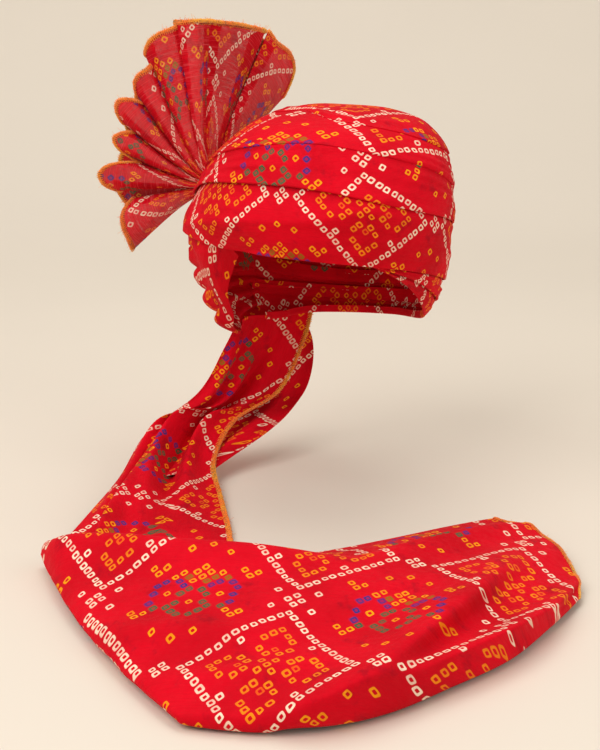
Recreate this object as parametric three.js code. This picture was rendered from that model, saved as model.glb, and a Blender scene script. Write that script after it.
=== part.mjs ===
// A tied turban of thin printed cotton: a crown cloth, four wraps wound shingle-fashion round the head,
// a bunch of gathers on the left side, a pleated plume with an overlocked edge, and a long free tail that
// falls from the nape and lies on the table in front of the wearer's stand.
// Millimetres, +Z up, the front faces -Y. The origin is the centre of the head opening.
import * as THREE from "three";
import { LoftGeometry } from "three/addons/geometries/LoftGeometry.js";
import { mergeGeometries } from "three/addons/utils/BufferGeometryUtils.js";

// Driving dimensions
const WALL = 2.4; // wound cloth of a wrap, several layers pressed together
const SHEET = 1.4; // one layer of loose cloth in the plume and the tail
const GAP = 1.3; // clearance between neighbouring cloths
const TOP_Z = 158; // the crown's highest point
const TABLE_Z = -200; // the surface that the tail lies on
const OVERLAP = 11; // how far a wrap runs up under the one above it
const LIP = 2.2; // how far a wrap's lower edge stands proud of the body
const BELOW_EDGE = 0.55; // how quickly a wrap comes out again below the edge that covers it
const EDGING_RADIUS = 1.5; // overlocked thread edge
const EDGE_CROWDING = 1.3; // over 1 sets the rows of a wrap closer together near its lower edge
const LEAST_SHOWING = 3; // a wrap's showing part is never lower than this, even where it is covered
const AZIMUTH_STEP = 12; // degrees between the sections of a wrap

// Rows for the tables below become objects with named columns.
function table(columns, rows) {
  return rows.map((row) => Object.fromEntries(columns.map((name, i) => [name, row[i]])));
}

// The body's outline, a row for every 45 degrees from the front towards the wearer's left hand, +X.
// Below the belly the side swells out from the rim, above it closes to the top.
const BODY = table(
  ["azimuth", "rimZ", "rimR", "swell", "bellyZ", "bellyR", "dome"],
  [
    [0, 41, 103, 1.2, 86, 120, 2.3],
    [45, 16, 93, 1.5, 78, 120, 2.7],
    [90, -32, 86, 2.0, 62, 117, 3.3],
    [135, -47, 88, 2.0, 55, 122, 2.7],
    [180, -53, 91, 2.0, 52, 128, 2.4],
    [225, -49, 86, 1.8, 55, 125, 2.1],
    [270, -44, 76, 1.5, 60, 121, 1.75],
    [315, 43, 97, 1.2, 80, 120, 2.0],
  ],
);

// Height of each cloth's lower edge at the same azimuths, from the top of the turban down.
const LOWER_EDGE = {
  crown: [137, 119, 84, 66, 62, 80, 110, 131],
  upper_wrap: [102, 80, 54, 30, 25, 50, 88, 103],
  front_band: [42, 28, 3, -18, -22, 5, 47, 45],
  under_wrap: [47, 22, -16, -34, -38, -22, 20, 50],
  nape_wrap: [51, 17, -31, -46, -52, -48, 0, 52],
};

// Soft ridges that run along a cloth: where they lie between its lower edge (0) and its upper edge (1).
const SOFT_FOLDS = table(
  ["cloth", "place", "height", "spread"],
  [
    ["crown", 0.22, 1.6, 0.08],
    ["crown", 0.5, 1.4, 0.1],
    ["upper_wrap", 0.22, 1.3, 0.1],
    ["upper_wrap", 0.5, 1.2, 0.08],
    ["front_band", 0.45, 1.2, 0.14],
  ],
);

// The two innermost wraps stop at the gathers, so they run only part of the way round.
const OPEN_WRAP = { start: -48, end: 216 };
const GATHER = { start: 218, end: 300, folds: 5, height: 5, slant: 0.35, rimWall: 4, topWall: 12 };

// Plume: a row for each crease of the fan, from the one behind the crown round to the lowest tip.
// The angle is from +X towards +Z, reach is the length from the neck, depth is towards the front.
const PLUME = { azimuth: 243, z: 78, standOff: 2.2, neck: 0.09, backSweep: 1.35, lean: 0.05 };
const PLUME_CREASES = table(
  ["angle", "reach", "depth"],
  [
    [43, 100, -4],
    [51, 128, 4],
    [58, 139, -6],
    [65, 147, 7],
    [75, 144, -5],
    [83, 143, 6],
    [94, 147, -4],
    [107, 139, 10],
    [113, 117, -10],
    [119, 111, 7],
    [126, 89, -9],
    [134, 104, 9],
    [141, 83, -8],
    [149, 87, 8],
    [159, 61, -9],
    [171, 89, 8],
    [188, 73, -6],
    [203, 82, 5],
    [223, 86, -2],
  ],
);

// Tail: a row for each section across the cloth, from the nape to the free end. Lift is the height over the
// table of the left and right edges. Bow is how far the middle stands out from the line between them, sweep
// how far it is shifted level towards +X, and roll the radius that the front edge is rolled under to.
const TAIL_SECTIONS = table(
  ["leftX", "leftY", "leftLift", "rightX", "rightY", "rightLift", "bow", "sweep", "roll"],
  [
    [-70, 78, 160, -6, 112, 161, -9, 0, 0],
    [-91, 76, 118, -14, 112, 122, -11, 0, 0],
    [-116, 66, 77, -40, 108, 66, -8, 0, 0],
    [-164, 52, 40, -84, 68, 46, 5, 0, 0],
    [-186, -5, 14, -101, 30, 19, 4, 0, 0],
    [-206, -84, 8, -92, -30, 6, 2, 0, 0],
    [-218, -124, 4, -80, -118, 3, 1, 0, 0],
    [-223, -148, 3, -76, -212, 2.5, 0, -4, 0],
    [-226, -162, 3, -82, -330, 2.5, 0, -9, 0],
    [-226, -172, 4, -92, -438, 3.5, 0, -13, 0],
    [-232, -178, 12, -100, -443, 12, 0, -13, 2],
    [-221, -180, 19, -88, -446, 20, 0, -13, 6],
    [-182, -191, 16, -48, -452, 19, 4, -9, 8],
    [-120, -206, 13, -6, -450, 18, 6, -4, 8],
    [-60, -198, 11, 42, -426, 17, 6, 0, 8],
    [0, -178, 10, 88, -390, 16, 6, 0, 7],
    [58, -146, 9, 132, -350, 14, 6, 4, 6],
    [110, -113, 8, 168, -300, 11, 5, 12, 4],
    [152, -88, 7, 200, -252, 5, 3, 20, 0],
  ],
);

// Folds of the tail: where each begins and ends along the sections, and its place across there.
const TAIL_FOLDS = table(
  ["from", "to", "acrossFrom", "acrossTo", "height", "spread", "lean"],
  [
    [0.2, 6.4, 0.14, 0.16, 15, 0.1, 0],
    [0.6, 6.4, 0.47, 0.42, 20, 0.11, -6],
    [1.4, 6.0, 0.78, 0.72, 13, 0.09, 0],
    [10.2, 15.2, 0.09, 0.2, 26, 0.09, -5],
    [11.5, 17.5, 0.42, 0.36, 9, 0.14, 0],
    [12.6, 16.6, 0.94, 0.52, 12, 0.08, 14],
    [13.6, 18.0, 0.9, 0.76, 9, 0.07, 12],
  ],
);
// The tail's doubled-back layer, which shows beyond its bound edge where it comes round from the nape.
const BACKING = { from: 0.8, to: 4.2, inset: 0.35, seat: 2.1, behind: 13, reach: 46, folds: 3, foldHeight: 3 };
const ROLL_SHARE = 0.1; // share of the tail's width that rolls under at its front edge
const FULL_ROLL = 4; // roll radius from which that whole share is rolled

// Catmull-Rom value between b and c.
function spline(a, b, c, d, t) {
  const slopeB = (c - a) / 2;
  const slopeC = (d - b) / 2;
  return b + slopeB * t + (3 * (c - b) - 2 * slopeB - slopeC) * t ** 2 + (2 * (b - c) + slopeB + slopeC) * t ** 3;
}

// A value between the rows of a closed ring of rows.
function around(values, azimuth) {
  const at = THREE.MathUtils.euclideanModulo(azimuth, 360) / (360 / values.length);
  const i = Math.floor(at);
  const near = [-1, 0, 1, 2].map((k) => values[(i + k + values.length) % values.length]);
  return spline(...near, at - i);
}

// A value between the rows of an open list of rows.
function between(values, at) {
  const i = Math.min(Math.floor(at), values.length - 2);
  const near = [-1, 0, 1, 2].map((k) => values[THREE.MathUtils.clamp(i + k, 0, values.length - 1)]);
  return spline(...near, at - i);
}

function evenly(from, to, count) {
  return Array.from({ length: count + 1 }, (_, i) => THREE.MathUtils.lerp(from, to, i / count));
}

function column(rows, name) {
  return rows.map((row) => row[name]);
}

// Radius of the turban's outline at an azimuth and height.
function bodyRadius(azimuth, z) {
  const [rimZ, rimR, swell, bellyZ, bellyR, dome] = ["rimZ", "rimR", "swell", "bellyZ", "bellyR", "dome"].map(
    (name) => around(column(BODY, name), azimuth),
  );
  if (z < bellyZ) {
    const up = THREE.MathUtils.clamp((z - rimZ) / (bellyZ - rimZ), 0, 1);
    return rimR + (bellyR - rimR) * (1 - (1 - up) ** swell) ** (1 / swell);
  }
  const up = Math.min((z - bellyZ) / (TOP_Z - bellyZ), 1);
  return bellyR * (1 - up ** dome) ** (1 / dome);
}

function onBody(azimuth, radius, z) {
  const a = THREE.MathUtils.degToRad(azimuth);
  return new THREE.Vector3(Math.sin(a) * radius, -Math.cos(a) * radius, z);
}

const CLOTHS = Object.keys(LOWER_EDGE);

function lowerEdge(cloth, azimuth) {
  return around(LOWER_EDGE[cloth], azimuth);
}

// The upper edge of a cloth: the crown closes at the top, a wrap ends under the cloth above it.
function upperEdge(cloth, azimuth) {
  const above = CLOTHS[CLOTHS.indexOf(cloth) - 1];
  return above ? Math.max(lowerEdge(above, azimuth), lowerEdge(cloth, azimuth)) + OVERLAP : TOP_Z;
}

// Radius of a cloth's smooth outer face: it stands proud at its lower edge and tucks in under the cloth above.
function faceRadius(cloth, azimuth, z) {
  const low = lowerEdge(cloth, azimuth);
  const share = (z - low) / (upperEdge(cloth, azimuth) - low);
  const radius = bodyRadius(azimuth, z) + LIP * (1 - Math.min(2 * share, 1));
  const above = CLOTHS[CLOTHS.indexOf(cloth) - 1];
  if (!above) return radius;
  const edge = lowerEdge(above, azimuth);
  const roof = faceRadius(above, azimuth, Math.max(edge, z)) - WALL - GAP;
  return Math.min(radius, roof + BELOW_EDGE * Math.max(edge - z, 0));
}

// How far the soft folds of a cloth raise its outer face, at a share of its height.
function foldHeight(cloth, share) {
  const raised = SOFT_FOLDS.filter((fold) => fold.cloth === cloth);
  return raised.reduce((sum, { place, height, spread }) => sum + height * Math.exp(-(((share - place) / spread) ** 2)), 0);
}

// A closed wall between two faces, each a list of rows of points. The rows' ends are joined along the way,
// and the first and last rows are joined too unless the rows come full circle.
function wall(face, reverse, fullCircle = false) {
  const rings = face.map((row, i) => [...row, ...reverse[i].slice().reverse()]);
  const body = new LoftGeometry(rings);
  if (fullCircle) return body;
  const last = face.length - 1;
  const startStrip = new LoftGeometry([reverse[0], face[0]], { closed: false });
  const endStrip = new LoftGeometry([face[last], reverse[last]], { closed: false });
  return mergeGeometries([body, startStrip, endStrip]);
}

// Rows up the two faces of a wrap at one azimuth, the inner face first. One row lies right at the edge of the
// cloth above, and the rows stand closer together near the wrap's own lower edge.
function wrapRows(cloth, azimuth, steps) {
  const low = lowerEdge(cloth, azimuth);
  const high = upperEdge(cloth, azimuth);
  const covered = Math.max(lowerEdge(CLOTHS[CLOTHS.indexOf(cloth) - 1], azimuth), low + LEAST_SHOWING);
  const showing = evenly(0, 1, steps).map((step) => THREE.MathUtils.lerp(low, covered, step ** EDGE_CROWDING));
  const inner = [];
  const outer = [];
  for (const z of [...showing, (covered + high) / 2, high]) {
    const radius = faceRadius(cloth, azimuth, z);
    const fold = foldHeight(cloth, (z - low) / (high - low));
    inner.push(onBody(azimuth, radius - WALL, z));
    outer.push(onBody(azimuth, radius + fold, z));
  }
  return [inner, outer];
}

function wrapCloth(cloth, azimuths, steps, fullCircle) {
  const rows = azimuths.map((azimuth) => wrapRows(cloth, azimuth, steps));
  return wall(column(rows, 0), column(rows, 1), fullCircle);
}

function ringWrap(cloth, steps) {
  return wrapCloth(cloth, evenly(0, 360, 360 / AZIMUTH_STEP), steps, true);
}

function openWrap(cloth, steps) {
  const count = Math.round((OPEN_WRAP.end - OPEN_WRAP.start) / AZIMUTH_STEP);
  return wrapCloth(cloth, evenly(OPEN_WRAP.start, OPEN_WRAP.end, count), steps, false);
}

// The crown's rows run up from its lower edge and all meet at the top.
function crownCloth(steps) {
  const row = (azimuth, inset) => {
    const low = lowerEdge("crown", azimuth);
    return evenly(0, 1, steps).map((share) => {
      const z = low + (TOP_Z - low) * Math.sin((share * Math.PI) / 2);
      const fold = inset ? 0 : foldHeight("crown", share);
      const radius = share < 1 ? faceRadius("crown", azimuth, z) + fold - inset * (1 - share ** 4) : 0;
      return onBody(azimuth, radius, z - inset * share ** 4);
    });
  };
  const azimuths = evenly(0, 360, 360 / AZIMUTH_STEP);
  return wall(
    azimuths.map((azimuth) => row(azimuth, WALL)),
    azimuths.map((azimuth) => row(azimuth, 0)),
    true,
  );
}

// Gathers: slanting lobes stacked from the front band's lower edge down to the nape.
function sideGather(steps) {
  const count = Math.round((2 * (GATHER.end - GATHER.start)) / AZIMUTH_STEP);
  const outer = [];
  const inner = [];
  for (const turn of evenly(0, 1, count)) {
    const azimuth = THREE.MathUtils.lerp(GATHER.start, GATHER.end, turn);
    const bandEdge = lowerEdge("front_band", azimuth);
    const low = around(column(BODY, "rimZ"), azimuth);
    const outerRow = [];
    const innerRow = [];
    for (const share of evenly(0, 1, steps)) {
      const z = THREE.MathUtils.lerp(low, bandEdge + OVERLAP * 0.8, share);
      const lobe = Math.abs(Math.sin(Math.PI * GATHER.folds * (share + GATHER.slant * turn)));
      const roof = faceRadius("front_band", azimuth, Math.max(z, bandEdge)) - WALL - 1.3 * GAP;
      const radius = Math.min(bodyRadius(azimuth, z) - 1 + GATHER.height * lobe, roof);
      outerRow.push(onBody(azimuth, radius, z));
      innerRow.push(onBody(azimuth, radius - THREE.MathUtils.lerp(GATHER.rimWall, GATHER.topWall, share), z));
    }
    outer.push(outerRow);
    inner.push(innerRow);
  }
  return wall(inner, outer);
}

// A point of the fan: along runs from the neck to the edge, across from the first crease to the last.
const PLUME_NECK = onBody(PLUME.azimuth, bodyRadius(PLUME.azimuth, PLUME.z) + PLUME.standOff, PLUME.z);

function plumePoint(along, across) {
  const at = across * (PLUME_CREASES.length - 1);
  const [angle, reach, depth] = ["angle", "reach", "depth"].map((name) => between(column(PLUME_CREASES, name), at));
  const a = THREE.MathUtils.degToRad(angle);
  const far = reach * THREE.MathUtils.lerp(PLUME.neck, 1, along);
  const sideways = far * Math.cos(a);
  const back = PLUME.backSweep * Math.max(sideways, 0) + PLUME.lean * far - depth * along;
  return PLUME_NECK.clone().add(new THREE.Vector3(sideways, back, far * Math.sin(a)));
}

// The edges and directions of the tail at one place along it.
function tailFrame(along) {
  const at = (name) => between(column(TAIL_SECTIONS, name), along);
  const left = new THREE.Vector3(at("leftX"), at("leftY"), at("leftLift"));
  const right = new THREE.Vector3(at("rightX"), at("rightY"), at("rightLift"));
  const acrossWay = right.clone().sub(left).normalize();
  const level = new THREE.Vector3(-acrossWay.y, acrossWay.x, 0).normalize();
  const hang = THREE.MathUtils.smoothstep(left.z, 20, 80);
  const out = new THREE.Vector3(0, 0, 1 - hang).addScaledVector(level, -hang).normalize();
  return { at, left, right, acrossWay, level, out };
}

// A point of the tail: along counts its sections, across runs from the left edge to the right.
function tailPoint(along, across) {
  const { at, left, right, acrossWay, level, out } = tailFrame(along);
  const roll = Math.max(at("roll"), 0);
  const rolled = ROLL_SHARE * Math.min(roll / FULL_ROLL, 1) + 1e-6;
  const curl = Math.PI * Math.max((across - 1 + rolled) / rolled, 0);
  const point = left.clone().lerp(right, Math.min(across / (1 - rolled), 1));
  point.addScaledVector(acrossWay, roll * Math.sin(curl)).addScaledVector(out, roll * (Math.cos(curl) - 1));
  const middle = 4 * across * (1 - across);
  point.addScaledVector(out, at("bow") * middle).addScaledVector(level, at("sweep") * middle);
  for (const fold of TAIL_FOLDS) {
    const share = THREE.MathUtils.clamp((along - fold.from) / (fold.to - fold.from), 0, 1);
    const place = THREE.MathUtils.lerp(fold.acrossFrom, fold.acrossTo, share);
    const swell = Math.sin(Math.PI * share) * Math.exp(-(((across - place) / fold.spread) ** 2));
    point.addScaledVector(out, fold.height * swell).addScaledVector(acrossWay, fold.lean * swell);
  }
  return point.setZ(point.z + TABLE_Z + SHEET / 2);
}

// A point of the doubled-back layer behind the hanging part of the tail.
function backingPoint(along, across) {
  const section = THREE.MathUtils.lerp(BACKING.from, BACKING.to, along);
  const { at, left, right, acrossWay, out } = tailFrame(section);
  const share = THREE.MathUtils.lerp(BACKING.inset, 1, across);
  const point = left.clone().lerp(right, share).addScaledVector(out, at("bow") * 4 * share * (1 - share));
  const loose = Math.sin(Math.PI * along);
  const fold = BACKING.foldHeight * Math.sin(2 * Math.PI * BACKING.folds * across);
  point.addScaledVector(acrossWay, BACKING.reach * across * loose);
  point.addScaledVector(out, (fold - BACKING.behind) * loose - BACKING.seat);
  return point.setZ(point.z + TABLE_Z + SHEET / 2);
}

// Unit vectors on a sheet: along it, across it and square to it.
function sheetFrame(point, along, across, step) {
  const slope = (da, dc) => point(along + da, across + dc).sub(point(along - da, across - dc)).normalize();
  const alongWay = slope(step, 0);
  const acrossWay = slope(0, 1e-3);
  return { alongWay, acrossWay, normal: new THREE.Vector3().crossVectors(acrossWay, alongWay).normalize() };
}

// A closed wall of one cloth thickness about a sheet, lofted along it.
function sheetCloth(point, alongList, acrossCount, step) {
  const face = (offset) =>
    alongList.map((along) =>
      evenly(0, 1, acrossCount).map((across) =>
        point(along, across).addScaledVector(sheetFrame(point, along, across, step).normal, offset),
      ),
    );
  return wall(face(SHEET / 2), face(-SHEET / 2));
}

// A round thread edge that runs beside a sheet's edge. Each place gives a point, the way out and a normal.
function edging(places, sides = 6) {
  const sections = places.map(({ point, outward, normal }) => {
    const centre = point.clone().addScaledVector(outward, EDGING_RADIUS + GAP);
    return Array.from({ length: sides }, (_, i) => {
      const turn = (i / sides) * 2 * Math.PI;
      return centre
        .clone()
        .addScaledVector(outward, EDGING_RADIUS * Math.cos(turn))
        .addScaledVector(normal, EDGING_RADIUS * Math.sin(turn));
    });
  });
  return new LoftGeometry(sections, { capStart: true, capEnd: true });
}

const CREASE_STEPS = 3; // facets between two creases of the plume
const PLUME_ACROSS = (PLUME_CREASES.length - 1) * CREASE_STEPS;
const TAIL_END = TAIL_SECTIONS.length - 1;
const TAIL_ACROSS = 22;
const TAIL_ALONG = evenly(0, TAIL_END, 36);
const BOUND_EDGE = { from: 0.4, to: 8.6 }; // where the tail's bound right edge starts and goes out of sight

function plumeEdge() {
  return evenly(0, 1, PLUME_ACROSS).map((across) => {
    const { alongWay, normal } = sheetFrame(plumePoint, 1, across, 1e-3);
    return { point: plumePoint(1, across), outward: alongWay, normal };
  });
}

function tailSideEdge() {
  const bound = TAIL_ALONG.filter((along) => along > BOUND_EDGE.from && along < BOUND_EDGE.to);
  return bound.reverse().map((along) => {
    const { acrossWay, normal } = sheetFrame(tailPoint, along, 1, 1e-2);
    return { point: tailPoint(along, 1), outward: acrossWay, normal };
  });
}

function tailEndEdge() {
  return evenly(0, 1, TAIL_ACROSS).map((across) => {
    const { alongWay, normal } = sheetFrame(tailPoint, TAIL_END, across, 1e-2);
    return { point: tailPoint(TAIL_END, across), outward: alongWay, normal };
  });
}

const printedCotton = { color: 0xc4101f, roughness: 0.85, metalness: 0 };
const orangeThread = { color: 0xe8640c, roughness: 0.75, metalness: 0 };

const turban = new THREE.Group();

function addPiece(name, geometry, finish) {
  const mesh = new THREE.Mesh(geometry, new THREE.MeshStandardMaterial(finish));
  mesh.name = name;
  turban.add(mesh);
}

addPiece("crown", crownCloth(9), printedCotton);
addPiece("upper_wrap", ringWrap("upper_wrap", 5), printedCotton);
addPiece("front_band", ringWrap("front_band", 6), printedCotton);
addPiece("under_wrap", openWrap("under_wrap", 3), printedCotton);
addPiece("nape_wrap", openWrap("nape_wrap", 3), printedCotton);
addPiece("side_gather", sideGather(15), printedCotton);
addPiece("plume", sheetCloth(plumePoint, evenly(0, 1, 6), PLUME_ACROSS, 1e-3), printedCotton);
addPiece("plume_edging", edging(plumeEdge()), orangeThread);
addPiece("tail", sheetCloth(tailPoint, TAIL_ALONG, TAIL_ACROSS, 1e-2), printedCotton);
addPiece("tail_backing", sheetCloth(backingPoint, evenly(0, 1, 10), 14, 1e-3), printedCotton);
addPiece("tail_side_edging", edging(tailSideEdge(), 5), orangeThread);
addPiece("tail_end_edging", edging(tailEndEdge(), 5), orangeThread);

export default turban;
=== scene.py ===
"""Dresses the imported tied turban: wound cloth with a tie-dye dot print, overlocked edges and a studio."""
import math

import bpy
import numpy as np
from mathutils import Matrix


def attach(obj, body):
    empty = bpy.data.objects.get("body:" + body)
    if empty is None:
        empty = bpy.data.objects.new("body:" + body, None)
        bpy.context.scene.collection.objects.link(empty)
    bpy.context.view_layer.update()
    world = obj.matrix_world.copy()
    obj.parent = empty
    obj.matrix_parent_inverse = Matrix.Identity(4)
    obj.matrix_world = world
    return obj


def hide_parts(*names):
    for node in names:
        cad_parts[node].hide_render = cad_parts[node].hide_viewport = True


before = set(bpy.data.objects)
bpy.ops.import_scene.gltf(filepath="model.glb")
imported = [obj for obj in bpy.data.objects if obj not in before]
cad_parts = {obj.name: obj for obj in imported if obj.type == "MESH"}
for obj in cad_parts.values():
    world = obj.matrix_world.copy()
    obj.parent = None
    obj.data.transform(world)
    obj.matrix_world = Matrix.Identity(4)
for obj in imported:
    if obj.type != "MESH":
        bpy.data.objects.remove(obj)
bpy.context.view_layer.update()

bl_info = {
    "name": "Tied turban",
    "version": (1, 0, 0),
    "blender": (4, 5, 0),
    "location": "View3D > Sidebar > Turban",
    "description": "Builds a tied turban with its plume and tail from wound printed cotton",
    "category": "Add Mesh",
}

MM = 0.001


# Tables. Lengths are in millimetres and angles in degrees, as in the part's source.
def columns(names, rows):
    """A table as a dictionary of named columns."""
    return dict(zip(names, np.array(rows, float).T))


def records(names, rows):
    """A table as a list of rows with named cells."""
    return [dict(zip(names, row)) for row in rows]


TOP_Z = 158
TABLE_Z = -200
OVERLAP = 11
BELOW_EDGE = 0.55

# The body's outline, a row for every 45 degrees from the front towards +X.
BODY = columns(
    ("azimuth", "rim_z", "rim_r", "swell", "belly_z", "belly_r", "dome"),
    [
        (0, 41, 103, 1.2, 86, 120, 2.3),
        (45, 16, 93, 1.5, 78, 120, 2.7),
        (90, -32, 86, 2.0, 62, 117, 3.3),
        (135, -47, 88, 2.0, 55, 122, 2.7),
        (180, -53, 91, 2.0, 52, 128, 2.4),
        (225, -49, 86, 1.8, 55, 125, 2.1),
        (270, -44, 76, 1.5, 60, 121, 1.75),
        (315, 43, 97, 1.2, 80, 120, 2.0),
    ],
)

# Height of each cloth's lower edge at the same azimuths, from the top of the turban down.
LOWER_EDGE = {
    "crown_top": (155, 145, 117, 112, 128, 147, 154, 157),
    "crown": (137, 119, 84, 66, 62, 80, 110, 131),
    "upper_wrap": (102, 80, 54, 30, 25, 50, 88, 103),
    "front_band": (42, 28, 3, -18, -22, 5, 47, 45),
    "under_wrap": (47, 22, -16, -34, -38, -22, 20, 50),
    "nape_wrap": (51, 17, -31, -46, -52, -48, 0, 52),
}
CLOTHS = list(LOWER_EDGE)

# How far each cloth stands proud at its lower edge, and how far its face lies under the cloth over it.
LIP = {
    "crown_top": 2.0, "crown": 0.9, "upper_wrap": 2.2,
    "front_band": 2.2, "under_wrap": 2.2, "nape_wrap": 2.2,
}
LAYER_STEP = {"crown": 2.2, "upper_wrap": 2.0, "front_band": 3.7, "under_wrap": 3.7, "nape_wrap": 3.7}

# Where each wound cloth starts and ends, the node that it stands for, and its cut.
WRAPS = records(
    ("cloth", "start", "end", "node", "width", "length"),
    [
        ("crown_top", -145, 215, "crown", 0.155, 0.17),
        ("crown", -145, 215, "crown", 0.058, 0.68),
        ("upper_wrap", -145, 215, "upper_wrap", 0.050, 0.70),
        ("front_band", -145, 215, "front_band", 0.066, 0.72),
        ("under_wrap", -48, 216, "under_wrap", 0.036, 0.46),
        ("nape_wrap", -48, 216, "nape_wrap", 0.034, 0.45),
    ],
)

# Creases pressed into the wound cloth. Place is the share of the showing height, 0 at the lower edge.
# A crease stands up softly on its upper side and falls off more quickly on its lower side.
CREASES = records(
    ("cloth", "start", "end", "place_from", "place_to", "height", "upper", "lower"),
    [
        ("crown_top", -60, 150, 0.16, 0.22, 1.5, 0.10, 0.07),
        ("crown_top", -90, 120, 0.42, 0.50, 1.3, 0.10, 0.08),
        ("crown_top", 100, 290, 0.30, 0.34, 1.4, 0.12, 0.07),
        ("crown", -75, 60, 0.40, 0.66, 0.9, 0.18, 0.13),
        ("crown", 60, 200, 0.45, 0.40, 1.2, 0.15, 0.09),
        ("crown", 150, 285, 0.30, 0.52, 1.2, 0.15, 0.09),
        ("upper_wrap", -84, -34, 0.62, 0.80, 1.4, 0.10, 0.07),
        ("upper_wrap", -84, -22, 0.40, 0.50, 1.3, 0.10, 0.07),
        ("upper_wrap", -84, -42, 0.22, 0.18, 1.2, 0.08, 0.06),
        ("upper_wrap", 0, 80, 0.90, 0.70, 1.2, 0.10, 0.07),
        ("upper_wrap", 14, 95, 0.72, 0.46, 1.1, 0.10, 0.07),
        ("upper_wrap", 34, 105, 0.48, 0.24, 1.0, 0.10, 0.07),
        ("upper_wrap", 80, 190, 0.55, 0.45, 1.4, 0.14, 0.08),
        ("upper_wrap", 150, 275, 0.30, 0.60, 1.4, 0.14, 0.08),
        ("front_band", -78, -40, 0.80, 0.92, 1.4, 0.08, 0.05),
        ("front_band", -78, -30, 0.58, 0.70, 1.5, 0.08, 0.05),
        ("front_band", -76, -36, 0.34, 0.44, 1.2, 0.08, 0.05),
        ("front_band", 12, 95, 0.86, 0.58, 1.2, 0.10, 0.07),
        ("front_band", 26, 105, 0.62, 0.34, 1.1, 0.10, 0.07),
        ("front_band", 90, 200, 0.50, 0.42, 1.5, 0.12, 0.07),
        ("front_band", 160, 270, 0.25, 0.62, 1.5, 0.12, 0.07),
        ("under_wrap", 50, 190, 0.45, 0.55, 1.0, 0.16, 0.08),
        ("nape_wrap", 50, 190, 0.45, 0.55, 1.0, 0.16, 0.08),
    ],
)

# The bunch of gathered folds on the left side, with its rolled edge towards the front.
GATHER = {
    "start": 212, "end": 311, "folds": 5.2, "height": 7.0, "slant": 0.35, "covered": 8.8,
    "smooth_from": 0.60, "smooth_to": 0.72, "roll_from": 0.64, "roll_to": 0.96, "roll_height": 5.0,
    "wander": 0.05, "uneven": 0.35, "ruching": 0.9, "sunk": 2, "under_band": 4.1, "print_radius": 110,
}
GATHER_GRID = (150, 130)

# Plume: a row for each pleat of the fan, from the one behind the crown round to the lowest tip.
# The angle is from +X towards +Z, spread is half the pleat's width, and reach is the length from the neck
# at its two sides and middle. Depth is towards the front, and a sheer pleat has one layer of cloth.
PLUME = {
    "azimuth": 243, "z": 78, "stand_off": 2.2, "neck": 0.03, "back_sweep": 1.35, "lean": 0.05, "tuck": 14,
    "flutter": 1.6, "bunched_to": 0.15, "open_from": 0.6,
}
PLUME_GRID = (481, 61)
PLEATS = records(
    ("angle", "spread", "reach_from", "reach", "reach_to", "depth", "sheer"),
    [
        (54, 11.5, 100, 136, 145, 7, 1.0),
        (77, 10.5, 144, 145, 146, 8, 0.95),
        (92, 6.5, 145, 148, 147, 13, 0.6),
        (104, 8.5, 146, 141, 127, 10, 1.0),
        (118, 7, 116, 114, 98, 12, 0.3),
        (133, 8, 90, 106, 90, 12, 0.7),
        (150, 8, 78, 89, 64, 11, 0.4),
        (172, 12, 60, 92, 74, 10, 1.0),
        (207, 16, 64, 80, 88, 10, 0.6),
    ],
)
# Section of one pleat: place in half widths from its middle, and rise as a share of its depth.
PLEAT_SECTION = (
    (-0.55, -1.0), (-1.0, -0.25), (-0.55, 0.8), (0, 1.0), (0.55, 0.8), (1.0, -0.25), (0.55, -1.0),
)
TUCKED_SHORT = 6

# Tail: a row for each section across the cloth, from the nape to the free end.
TAIL = columns(
    ("left_x", "left_y", "left_lift", "right_x", "right_y", "right_lift", "bow", "sweep", "roll"),
    [
        (-70, 78, 160, -6, 112, 161, -9, 0, 0),
        (-91, 76, 118, -14, 112, 122, -11, 0, 0),
        (-116, 66, 77, -40, 108, 66, -8, 0, 0),
        (-164, 52, 40, -84, 68, 46, 5, 0, 0),
        (-186, -5, 14, -101, 30, 19, 4, 0, 0),
        (-206, -84, 8, -92, -30, 6, 2, 0, 0),
        (-218, -124, 4, -80, -118, 3, 1, 0, 0),
        (-223, -148, 3, -76, -212, 2.5, 0, -4, 0),
        (-226, -162, 3, -82, -330, 2.5, 0, -9, 0),
        (-226, -172, 4, -92, -438, 3.5, 0, -13, 0),
        (-232, -178, 12, -100, -443, 8, 0, -13, 2),
        (-221, -180, 19, -88, -446, 12, 0, -13, 5),
        (-182, -191, 16, -48, -452, 15, 4, -9, 7),
        (-120, -206, 13, -6, -450, 18, 6, -4, 8),
        (-60, -198, 11, 42, -426, 17, 6, 0, 8),
        (0, -178, 10, 88, -390, 16, 6, 0, 7),
        (58, -146, 9, 132, -350, 14, 6, 4, 6),
        (110, -113, 8, 168, -300, 11, 5, 12, 4),
        (152, -88, 7, 200, -252, 5, 3, 20, 0),
    ],
)
TAIL_END = 18
TAIL_FOLDS = records(
    ("start", "end", "across_from", "across_to", "height", "spread", "lean"),
    [
        (0.2, 6.4, 0.14, 0.16, 15, 0.10, 0),
        (0.6, 6.4, 0.47, 0.42, 20, 0.11, -6),
        (1.4, 6.0, 0.78, 0.72, 13, 0.09, 0),
        (1.0, 5.2, 0.60, 0.56, -16, 0.08, 0),
        (3.0, 8.6, 0.34, 0.24, 16, 0.06, -9),
        (10.2, 15.0, 0.05, 0.26, 24, 0.08, -16),
        (10.4, 18.6, 0.34, 0.40, 20, 0.30, 0),
        (10.3, 13.6, 0.50, 0.60, 7, 0.06, 4),
        (10.3, 14.2, 0.78, 0.72, 6, 0.05, 4),
        (14.6, 18.6, 0.30, 0.24, 8, 0.06, -4),
        (12.2, 17.2, 0.97, 0.50, 20, 0.075, 27),
        (13.2, 18.4, 0.90, 0.84, 13, 0.05, 16),
    ],
)
ROLL_SHARE = 0.1
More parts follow.
